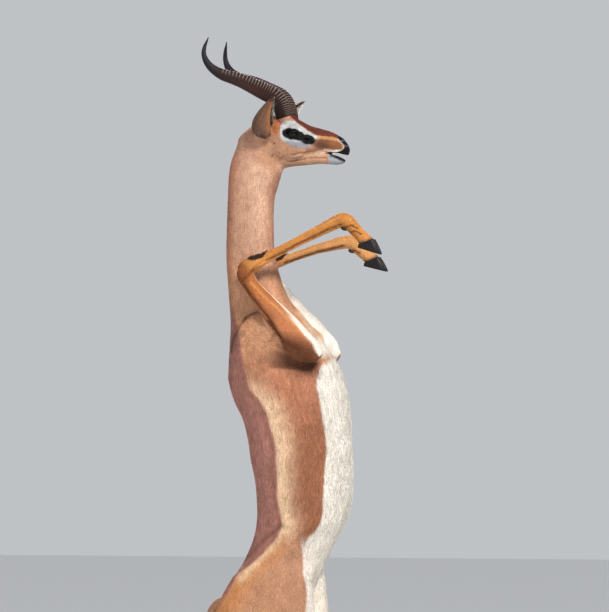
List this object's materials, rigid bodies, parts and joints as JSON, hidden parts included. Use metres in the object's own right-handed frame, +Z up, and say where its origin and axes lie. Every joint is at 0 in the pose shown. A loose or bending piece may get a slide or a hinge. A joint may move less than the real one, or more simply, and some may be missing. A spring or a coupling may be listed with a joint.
{
  "type": "gerenuk model",
  "caption": "Life-size still model of a horned male gerenuk standing upright on its hind legs on a flat base, as a museum shows it.",
  "frame": {"origin": "centre of the base's underside, on the floor under the animal", "axes": "+X the way the animal faces, +Y its left side, +Z up"},
  "size_m": [0.64, 0.44, 2.2673],
  "materials": {
    "pelt": "short coat, fawn with a darker saddle and a white belly",
    "eye": "wet dark brown",
    "horn": "ringed horn, satin",
    "hoof": "satin black",
    "base": "matt grey"
  },
  "bodies": {
    "root": {"head": "pelt", "lower_jaw": "pelt", "neck": "pelt", "torso": "pelt", "ear_left": "pelt", "ear_right": "pelt", "forearm_left": "pelt", "forearm_right": "pelt", "cannon_fore_left": "pelt", "cannon_fore_right": "pelt", "thigh_left": "pelt", "thigh_right": "pelt", "shank_left": "pelt", "shank_right": "pelt", "cannon_hind_left": "pelt", "cannon_hind_right": "pelt", "tail": "pelt", "eye_left": "eye", "eye_right": "eye", "horn_left": "horn", "horn_right": "horn", "hoof_fore_left": "hoof", "hoof_fore_right": "hoof", "hoof_hind_left": "hoof", "hoof_hind_right": "hoof", "stand_base": "base"}
  },
  "joints": []
}
